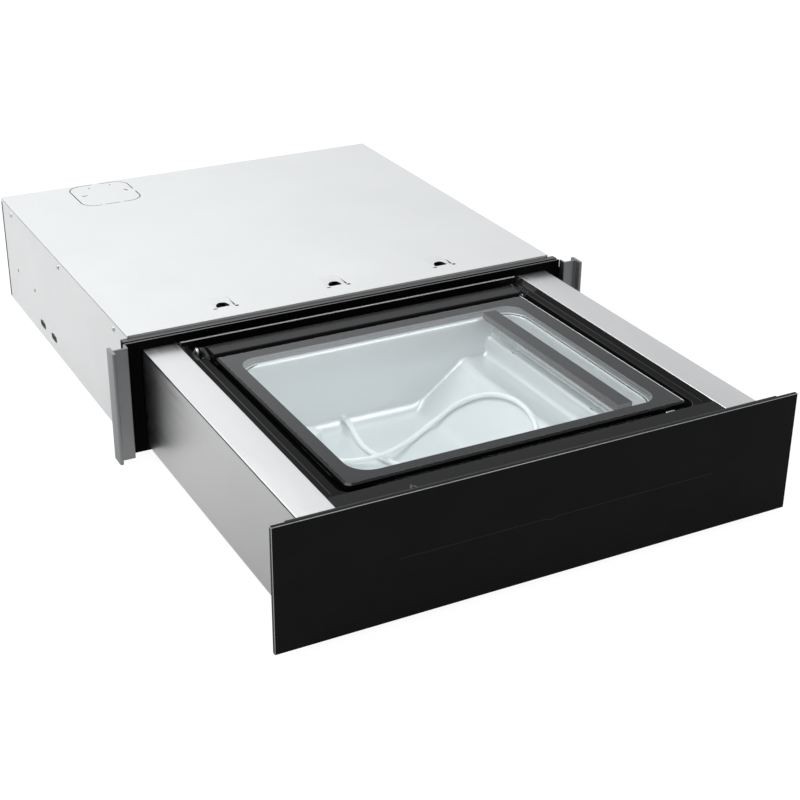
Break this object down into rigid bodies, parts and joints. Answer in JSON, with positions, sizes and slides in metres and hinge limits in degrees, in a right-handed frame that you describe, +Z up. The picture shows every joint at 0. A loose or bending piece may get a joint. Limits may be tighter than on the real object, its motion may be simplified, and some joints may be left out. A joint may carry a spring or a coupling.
{
  "type": "vacuum sealing drawer",
  "caption": "Built-in drawer with a sealed chamber under a hinged glass lid, a sealing bar, a pump and a loose hose, sliding out of a flat sheet metal housing with a black glass front.",
  "frame": {"origin": "middle of the housing's bottom face", "axes": "+X to the right seen from the front, +Y into the cabinet, +Z up; the drawer stands fully pulled out towards -Y"},
  "size_m": [0.61, 0.9729, 0.1445],
  "materials": {
    "sheet_steel": "satin, galvanised sheet",
    "dark_steel": "satin, dark coating",
    "black_steel": "satin black paint",
    "trim_aluminium": "brushed along its length, anodised",
    "bright_steel": "bright zinc plated",
    "chrome_steel": "polished",
    "front_glass": "black enamelled behind, polished",
    "lid_glass": "clear, black printed border below",
    "black_plastic": "fine satin moulding",
    "grey_plastic": "satin moulding",
    "chamber_steel": "fine blasted stainless steel",
    "seal_rubber": "matt grey silicone",
    "black_rubber": "matt black rubber",
    "bar_silicone": "matt dark grey silicone",
    "clear_hose": "translucent silicone",
    "clear_plastic": "translucent",
    "bar_aluminium": "plain",
    "tape": "woven release tape",
    "cast_aluminium": "die cast, bare",
    "copper_wound": "laminated core with varnished winding",
    "board": "green laminate",
    "ivory_plastic": "moulding"
  },
  "bodies": {
    "housing": {"base_tray": "sheet_steel", "top_cover": "sheet_steel", "rear_panel": "dark_steel", "front_frame": "black_steel", "trim_left": "trim_aluminium", "trim_right": "trim_aluminium", "cover_screws": "bright_steel", "runner_bracket_left": "bright_steel", "runner_bracket_right": "bright_steel", "runner_fixed_left": "bright_steel", "runner_fixed_right": "bright_steel", "mains_inlet": "black_plastic", "terminal_block": "ivory_plastic", "mains_filter": "bright_steel", "sealing_transformer": "copper_wound", "push_latch_body": "grey_plastic"},
    "latch_plunger": {"push_latch_plunger": "black_plastic"},
    "mid_runner_left": {"runner_mid_left": "bright_steel"},
    "mid_runner_right": {"runner_mid_right": "bright_steel"},
    "drawer": {"side_box_left": "sheet_steel", "side_box_right": "sheet_steel", "base_pan": "sheet_steel", "rear_plate": "sheet_steel", "front_carrier": "dark_steel", "front_glass": "front_glass", "control_panel": "grey_plastic", "touch_board": "board", "deck_frame": "black_plastic", "rear_deck_rail": "bright_steel", "pump_cover": "bright_steel", "vacuum_chamber": "chamber_steel", "lid_seal": "seal_rubber", "suction_port": "clear_plastic", "lift_cylinders": "cast_aluminium", "hinge_brackets": "dark_steel", "hinge_pins": "chrome_steel", "runner_inner_left": "bright_steel", "runner_inner_right": "bright_steel", "pump_bracket": "bright_steel", "pump_mounts": "black_rubber", "pump_motor": "cast_aluminium", "pump_head": "cast_aluminium", "fan_cowl": "black_plastic", "vent_valve": "ivory_plastic", "vacuum_pipe": "black_plastic", "control_board": "board", "lid_switch_body": "black_plastic", "hose": "clear_hose", "hose_cap": "clear_plastic"},
    "lid": {"lid_glass": "lid_glass", "hinge_bar": "grey_plastic", "hinge_arms": "black_steel", "counter_bar": "bar_silicone"},
    "seal_bar": {"sealing_bar": "bar_aluminium", "sealing_tape": "tape", "lift_rods": "bright_steel"},
    "switch_tab": {"lid_switch_tab": "chrome_steel"},
    "fan": {"pump_fan": "black_plastic", "pump_shaft": "bright_steel"}
  },
  "joints": [
    {"name": "drawer_slide", "type": "slide", "parent": "housing", "child": "drawer", "axis": [0, -1, 0], "range_m": [-0.411, 0]},
    {"name": "mid_runner_left_slide", "type": "slide", "parent": "housing", "child": "mid_runner_left", "axis": [0, -1, 0], "range_m": [-0.2055, 0]},
    {"name": "mid_runner_right_slide", "type": "slide", "parent": "housing", "child": "mid_runner_right", "axis": [0, -1, 0], "range_m": [-0.2055, 0]},
    {"name": "lid_hinge", "type": "hinge", "parent": "drawer", "child": "lid", "pos_m": [0, -0.2895, 0.1213], "axis": [-1, 0, 0], "range_deg": [-0.55, 74.45]},
    {"name": "sealing_bar_lift", "type": "slide", "parent": "drawer", "child": "seal_bar", "axis": [0, 0, 1], "range_m": [0, 0.004]},
    {"name": "lid_switch_press", "type": "slide", "parent": "drawer", "child": "switch_tab", "axis": [0, 0, -1], "range_m": [0, 0.003], "stiffness_N_per_m": 150, "springref_m": -0.002},
    {"name": "fan_spin", "type": "hinge", "parent": "drawer", "child": "fan", "pos_m": [0, -0.2825, 0.0577], "axis": [1, 0, 0], "continuous": true},
    {"name": "latch_press", "type": "slide", "parent": "housing", "child": "latch_plunger", "axis": [0, 1, 0], "range_m": [0, 0.004], "stiffness_N_per_m": 600, "springref_m": -0.003}
  ],
  "couplings": [
    {"joint": "mid_runner_left_slide", "follows": "drawer_slide", "ratio": 0.5},
    {"joint": "mid_runner_right_slide", "follows": "drawer_slide", "ratio": 0.5}
  ]
}
